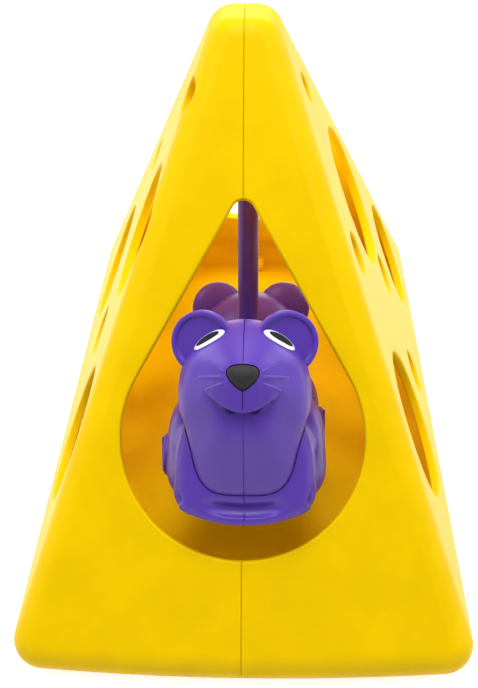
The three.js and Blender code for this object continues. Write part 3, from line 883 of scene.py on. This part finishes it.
def dial():
    """Turned knob with a raised grip across it, and its spindle."""
    start, end = -(DIAL_SEAT + FIT_GAP), -(DIAL_REACH - DIAL_GRIP[1])
    knob = gate_bar("dial", DIAL_RADIUS, start, end, DIAL_ROUNDING)
    reach = DIAL_RADIUS - DIAL_GRIP_INSET
    grip = block(
        "grip",
        swing_point(-DIAL_REACH, GATE_CENTRE[0] + DIAL_GRIP[0] / 2, GATE_CENTRE[1] + reach),
        swing_point(end + BURIED, GATE_CENTRE[0] - DIAL_GRIP[0] / 2, GATE_CENTRE[1] - reach),
    )
    round_edges(grip, DIAL_GRIP_ROUNDING)
    carve(knob, grip, "UNION")
    carve(knob, gate_bar("spindle", SPINDLE_RADIUS, start - BURIED, -(DRUM_REACH - DRUM_WEB)), "UNION")
    thread = gate_bar("thread", GATE_SCREW_RADIUS + FIT_GAP, -DRUM_REACH - GATE_SCREW_LENGTH, 0)
    return [carve(knob, thread)]


def round_edges(obj, width, segments=3):
    """Bevels every edge of a small form."""
    bm = bmesh.new()
    bm.from_mesh(obj.data)
    bmesh.ops.bevel(bm, geom=bm.edges, offset=width, segments=segments, profile=0.5, affect="EDGES")
    bm.to_mesh(obj.data)
    bm.free()
    return obj


def drum():
    """Half drum with a web at each end, open on the other half."""
    web = DRUM_REACH - DRUM_WEB
    tube = gate_bar("gate_drum", DRUM_RADIUS, -DRUM_REACH, DRUM_REACH, SMALL_ROUNDING)
    carve(tube, gate_bar("hollow", DRUM_RADIUS - DRUM_THICKNESS, -web, web))
    centre = swing_point(0, *GATE_CENTRE)
    window = block("window", (-web, -2 * DRUM_RADIUS, -DRUM_RADIUS * 2), (web, 0, DRUM_RADIUS * 2))
    window.data.transform(Matrix.Translation(centre) @ Matrix.Rotation(-DRUM_START, 4, "X"))
    carve(tube, window)
    carve(tube, gate_bar("bore", SPINDLE_RADIUS + FIT_GAP, -2 * DRUM_REACH, 2 * DRUM_REACH))
    return [tube]


def gate_screw():
    """Screw that holds the drum on the spindle, with a cross recess in its head."""
    head_start = -(DRUM_REACH - DRUM_WEB - FIT_GAP)
    head_end = head_start + GATE_SCREW_HEAD[1]
    head = gate_bar("gate_screw", GATE_SCREW_HEAD[0], head_start, head_end, SMALL_ROUNDING)
    shank = gate_bar("shank", GATE_SCREW_RADIUS, head_start - GATE_SCREW_LENGTH, head_start + BURIED / 2)
    carve(head, shank, "UNION")
    for turn in (0, 90):
        slot = block("slot", [-half for half in GATE_SCREW_SLOT], GATE_SCREW_SLOT)
        top = swing_point(head_end, *GATE_CENTRE)
        slot.data.transform(Matrix.Translation(top) @ Matrix.Rotation(math.radians(turn), 4, "X"))
        carve(head, slot)
    return [head]


def hanger():
    """Eye, rod and the hub with a spigot towards each mouse."""
    reach = ROD_RADIUS + 2 * FIT_GAP + SHELL
    flange_end = reach + FLANGE_THICKNESS
    rod = swing_bar("hanger_rod", ROD_RADIUS, (0, 0, 0), (0, 0, HUB_DROP))
    eye = swing_bar("eye", EYE_RADIUS, (-ROD_RADIUS, 0, 0), (ROD_RADIUS, 0, 0), HUB_ROUNDING)
    hub = swing_bar("hub", HUB_RADIUS, (0, -ROD_RADIUS, HUB_DROP), (0, ROD_RADIUS, HUB_DROP), HUB_ROUNDING)
    spigot = swing_bar("spigot", SPIGOT_RADIUS, (0, -flange_end, HUB_DROP), (0, flange_end, HUB_DROP))
    for part in (eye, hub, spigot):
        carve(rod, part, "UNION")
    for facing in (-1, 1):
        start, end = ((0, facing * forward, HUB_DROP) for forward in (reach, flange_end))
        carve(rod, swing_bar("flange", FLANGE_RADIUS, start, end, FLANGE_ROUNDING), "UNION")
    start, end = ((side * 2 * ROD_RADIUS, 0, 0) for side in (-1, 1))
    return carve(rod, swing_bar("bore", AXLE_RADIUS + FIT_GAP, start, end))


def washer(side):
    """Ring between the eye and a boss of the housing."""
    start = side * (ROD_RADIUS + SIDE_PLAY + FIT_GAP)
    end = start + side * WASHER_THICKNESS
    ring = axle_bar("washer", WASHER_RADIUS, start, end, WASHER_ROUNDING)
    return carve(ring, axle_bar("bore", AXLE_RADIUS + FIT_GAP, -end, 2 * end))


# Materials

# Colour as it looks on screen, roughness, scale of the grain, strength of its relief, mottle, specular
# level and metallic share
MATERIALS = {
    "yellow_plastic": ((249, 205, 1), 0.4, 2600, 0.25, 0.03, 0.05, 0),
    "purple_plastic": ((88, 53, 170), 0.35, 3200, 0.12, 0.05, 0.35, 0),
    "black_plastic": ((36, 36, 38), 0.62, 3200, 0.5, 0.15, 0.25, 0),
    "eye_white": ((244, 244, 246), 0.4, 3200, 0.05, 0.02, 0.4, 0),
    "eye_black": ((26, 26, 28), 0.6, 3200, 0.05, 0.1, 0.2, 0),
    "washer_nylon": ((232, 230, 220), 0.5, 2600, 0.1, 0.03, 0.4, 0),
    "drawn_steel": ((180, 182, 184), 0.3, 900, 0.15, 0.03, 0.4, 1),
}
MOTTLE_SCALE = 60
MOTTLE_DETAIL = 4
MOTTLE_RAMP = (0.35, 0.65)
GRAIN_DETAIL = 3
GRAIN_GLOSS = 0.06
GRAIN_DISTANCE = 0.1 * MM


def linear(red, green, blue):
    """A colour given as it looks on screen, 0 to 255, for a shader."""
    def channel(value):
        value /= 255
        return value / 12.92 if value <= 0.04045 else ((value + 0.055) / 1.055) ** 2.4
    return (channel(red), channel(green), channel(blue), 1)


def surfaced(name):
    """A material of the table: a colour with a faint mottle, and a fine grain in gloss and relief."""
    on_screen, roughness, grain, depth, mottle, specular, metallic = MATERIALS[name]
    colour = linear(*on_screen)
    material = bpy.data.materials.new(name)
    material.use_nodes = True
    nodes, links = material.node_tree.nodes, material.node_tree.links
    shader = nodes["Principled BSDF"]
    coords = nodes.new("ShaderNodeTexCoord")
    cloud = nodes.new("ShaderNodeTexNoise")
    cloud.inputs["Scale"].default_value = MOTTLE_SCALE
    cloud.inputs["Detail"].default_value = MOTTLE_DETAIL
    blend = nodes.new("ShaderNodeValToRGB")
    for stop, place, level in zip(blend.color_ramp.elements, MOTTLE_RAMP, (1 - mottle, 1 + mottle)):
        stop.position = place
        stop.color = (*(min(value * level, 1) for value in colour[:3]), 1)
    fine = nodes.new("ShaderNodeTexNoise")
    fine.inputs["Scale"].default_value = grain
    fine.inputs["Detail"].default_value = GRAIN_DETAIL
    gloss = nodes.new("ShaderNodeMapRange")
    gloss.inputs["To Min"].default_value = roughness - GRAIN_GLOSS
    gloss.inputs["To Max"].default_value = roughness + GRAIN_GLOSS
    bump = nodes.new("ShaderNodeBump")
    bump.inputs["Strength"].default_value = depth
    bump.inputs["Distance"].default_value = GRAIN_DISTANCE
    for noise in (cloud, fine):
        links.new(coords.outputs["Object"], noise.inputs["Vector"])
    links.new(cloud.outputs["Fac"], blend.inputs["Fac"])
    links.new(blend.outputs["Color"], shader.inputs["Base Color"])
    links.new(fine.outputs["Fac"], gloss.inputs["Value"])
    links.new(gloss.outputs["Result"], shader.inputs["Roughness"])
    links.new(fine.outputs["Fac"], bump.inputs["Height"])
    links.new(bump.outputs["Normal"], shader.inputs["Normal"])
    shader.inputs["Specular IOR Level"].default_value = specular
    shader.inputs["Metallic"].default_value = metallic
    return material


def paint(obj, material):
    """Gives an object one material."""
    obj.data.materials.clear()
    obj.data.materials.append(material)
    return obj


def finish_piece(obj, name, material, body, nodes):
    """Names a piece, paints it, and sets it on its body in place of its CAD nodes."""
    obj.name = name
    obj.data.name = name
    paint(obj, material)
    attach(obj, body)
    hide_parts(*nodes)
    return obj


# Scene

GATE_KINDS = ("dial", "gate_drum", "gate_screw")


def build_object():
    """The housing, its axle and washers, the rod, and the parts of both mice."""
    yellow, purple, black, white, ink, nylon, metal = (surfaced(name) for name in MATERIALS)
    for side, obj in zip(("left", "right"), housing()):
        name = f"housing_{side}_shell"
        finish_piece(smooth(obj), name, yellow, "housing", [f"housing_{side}"])
    pin = smooth(axle_bar("pin", AXLE_RADIUS, -AXLE_REACH, AXLE_REACH, SMALL_ROUNDING))
    finish_piece(pin, "axle_pin_turned", metal, "housing", ["axle_pin"])
    for side, tag in ((-1, "left"), (1, "right")):
        name = f"washer_{tag}_turned"
        finish_piece(smooth(washer(side)), name, nylon, "housing", [f"washer_{tag}"])
    rest = Matrix.Translation((SIDE_PLAY, 0, AXLE_HEIGHT)) @ Matrix.Rotation(SWING_ANGLE, 4, "X")
    rod = hanger()
    rod.data.transform(rest)
    finish_piece(smooth(rod), "hanger_moulded", purple, "swing", ["hanger"])
    looks = {
        "head": (purple, "mouse_plastic"), "body": (purple, "mouse_plastic"), "nose": (black, "nose_plastic"),
        "eye": (white, "mouse_plastic"), "pupil": (ink, "nose_plastic"),
        "dial": (purple, "mouse_plastic"), "gate_drum": (purple, "mouse_plastic"),
        "gate_screw": (metal, "steel"),
    }
    parts = [*head_and_eyes(), *body(), nose("nose"), *dial(), *drum(), *gate_screw()]
    for part in parts:
        smooth(part)
    turns = {"front": Matrix.Identity(4), "rear": Matrix.Rotation(math.pi, 4, "Z")}
    for prefix, turn in turns.items():
        for part in parts:
            kind = next(key for key in looks if part.name.startswith(key))
            tag = part.name.split(".")[0]
            material, slot = looks[kind]
            body_name = f"{prefix}_gate" if kind in GATE_KINDS else "swing"
            node = f"{prefix}_{tag}"
            replaced = [node] if node in frame["nodes"] else []
            copy = twin(part, f"{node}_skin")
            copy.data.transform(rest @ turn)
            finish_piece(copy, f"{node}_skin", material, body_name, replaced)
    for part in parts:
        drop_object(part)


FLOOR_REACH = 6 * BASE_LENGTH
FLOOR_COLOUR = (0.85, 0.85, 0.85, 1)
FLOOR_ROUGHNESS = 0.8
FLOOR_GLOW = 0.8
WHITE = (1, 1, 1, 1)
SURROUNDINGS = (0.1, 1)

# Place and power of the lamps over the middle line, and of those that stand on both sides
LAMP_SIZE = 0.55
LAMP_TARGET = (0, -0.03, 0.07)
MIDDLE_LAMPS = {
    "overhead": ((0, -0.05, 1.1), 7.5),
    "behind": ((0, 1.1, 0.3), 1.7),
    "back": ((0, 0.65, 0.9), 1.2),
}
SIDE_LAMPS = {
    "side_back": ((0.8, 0.6, 0.5), 2.7),
    "side_front": ((0.6, -0.3, 0.9), 2.9),
    "side_low": ((1.15, -0.1, 0.22), 0.8),
}

# Faint lamps under the ridge, for the light that comes in through the thin yellow walls
GLOW_PLACE = (12 * MM, -4 * MM, 97 * MM)
GLOW_RADIUS = 4 * MM
GLOW_COLOUR = (1, 0.68, 0.12)
GLOW_POWER = 0.022
BACK_GLOW_PLACE = (8 * MM, -10 * MM, 101 * MM)
BACK_GLOW_TARGET = (0, 58 * MM, 92 * MM)
BACK_GLOW_COLOUR = (0.85, 0.9, 0.25)
BACK_GLOW_POWER = 0.011
BACK_GLOW_SPREAD = math.radians(70)


def seen_directly(nodes, links):
    """1 on rays of the camera, a reflection or a transmission, which see the background, and 0 on others."""
    path = nodes.new("ShaderNodeLightPath")
    result = path.outputs["Is Camera Ray"]
    for name in ("Is Glossy Ray", "Is Transmission Ray"):
        either = nodes.new("ShaderNodeMath")
        either.operation = "MAXIMUM"
        links.new(result, either.inputs[0])
        links.new(path.outputs[name], either.inputs[1])
        result = either.outputs[0]
    return result


def pale_floor():
    """A floor that glows a little where it is seen directly."""
    size = FLOOR_REACH
    corners = [(-size, -size, 0), (size, -size, 0), (size, size, 0), (-size, size, 0)]
    floor = mesh_object("floor", corners, [(0, 1, 2, 3)])
    material = bpy.data.materials.new("floor_white")
    material.use_nodes = True
    nodes, links = material.node_tree.nodes, material.node_tree.links
    shader = nodes["Principled BSDF"]
    shader.inputs["Base Color"].default_value = FLOOR_COLOUR
    shader.inputs["Roughness"].default_value = FLOOR_ROUGHNESS
    glow = nodes.new("ShaderNodeEmission")
    glow.inputs["Color"].default_value = WHITE
    glow.inputs["Strength"].default_value = FLOOR_GLOW
    add = nodes.new("ShaderNodeAddShader")
    mix = nodes.new("ShaderNodeMixShader")
    links.new(shader.outputs["BSDF"], add.inputs[0])
    links.new(glow.outputs["Emission"], add.inputs[1])
    links.new(seen_directly(nodes, links), mix.inputs["Fac"])
    links.new(shader.outputs["BSDF"], mix.inputs[1])
    links.new(add.outputs["Shader"], mix.inputs[2])
    links.new(mix.outputs["Shader"], nodes["Material Output"].inputs["Surface"])
    paint(floor, material)


def surroundings():
    """White where they are seen directly, and dim as a source of light."""
    world = bpy.data.worlds.new("studio")
    bpy.context.scene.world = world
    world.use_nodes = True
    nodes, links = world.node_tree.nodes, world.node_tree.links
    background = nodes["Background"]
    background.inputs["Color"].default_value = WHITE
    level = nodes.new("ShaderNodeMapRange")
    level.inputs["To Min"].default_value, level.inputs["To Max"].default_value = SURROUNDINGS
    links.new(seen_directly(nodes, links), level.inputs["Value"])
    links.new(level.outputs["Result"], background.inputs["Strength"])


def lamp(name, place, power, target=LAMP_TARGET, kind="AREA"):
    """A lamp turned towards a target; an area lamp is a large disc."""
    data = bpy.data.lights.new(name, kind)
    data.energy = power
    if kind == "AREA":
        data.shape = "DISK"
        data.size = LAMP_SIZE
    obj = bpy.data.objects.new(name, data)
    bpy.context.scene.collection.objects.link(obj)
    obj.location = place
    obj.rotation_euler = (Vector(target) - obj.location).to_track_quat("-Z", "Y").to_euler()
    return obj


def lamps():
    """Soft lamps round the object and faint ones in it, which only light it."""
    for name, (place, power) in MIDDLE_LAMPS.items():
        lamp(name, place, power)
    for side in (-1, 1):
        for name, ((x, y, z), power) in SIDE_LAMPS.items():
            lamp(name, (side * x, y, z), power)
        glow = lamp("glow", (side * GLOW_PLACE[0], *GLOW_PLACE[1:]), GLOW_POWER, kind="POINT")
        glow.data.shadow_soft_size = GLOW_RADIUS
        glow.data.color = GLOW_COLOUR
        place = (side * BACK_GLOW_PLACE[0], *BACK_GLOW_PLACE[1:])
        back = lamp("back_glow", place, BACK_GLOW_POWER, BACK_GLOW_TARGET)
        back.data.size = 2 * GLOW_RADIUS
        back.data.spread = BACK_GLOW_SPREAD
        back.data.color = BACK_GLOW_COLOUR
        for obj in (glow, back):
            obj.visible_camera = False
            obj.visible_glossy = False


# Camera, from the fit of the photographed outline and holes
CAMERA_TARGET = Vector((-3.676, 0, 38.496)) * MM
CAMERA_DISTANCE = 380.755 * MM
CAMERA_AZIMUTH = math.radians(2.307)
CAMERA_ELEVATION = math.radians(35.997)
CAMERA_ROLL = math.radians(-1.103)
CAMERA_LENS = 53.84
CAMERA_SENSOR = 36
CAMERA_CLIP_START = 10 * MM


def camera():
    """The camera of the photo."""
    data = bpy.data.cameras.new("camera")
    data.lens = CAMERA_LENS
    data.sensor_width = CAMERA_SENSOR
    data.clip_start = CAMERA_CLIP_START
    obj = bpy.data.objects.new("camera", data)
    bpy.context.scene.collection.objects.link(obj)
    out = Vector((
        math.sin(CAMERA_AZIMUTH) * math.cos(CAMERA_ELEVATION),
        -math.cos(CAMERA_AZIMUTH) * math.cos(CAMERA_ELEVATION),
        math.sin(CAMERA_ELEVATION),
    ))
    right = Vector((math.cos(CAMERA_AZIMUTH), math.sin(CAMERA_AZIMUTH), 0))
    up = out.cross(right)
    rolled_right = right * math.cos(CAMERA_ROLL) + up * math.sin(CAMERA_ROLL)
    rolled_up = up * math.cos(CAMERA_ROLL) - right * math.sin(CAMERA_ROLL)
    turn = Matrix((rolled_right, rolled_up, out)).transposed().to_4x4()
    obj.matrix_world = Matrix.Translation(CAMERA_TARGET + out * CAMERA_DISTANCE) @ turn
    bpy.context.scene.camera = obj


bpy.context.scene.view_settings.view_transform = "Standard"
build_object()
pale_floor()
surroundings()
lamps()
camera()
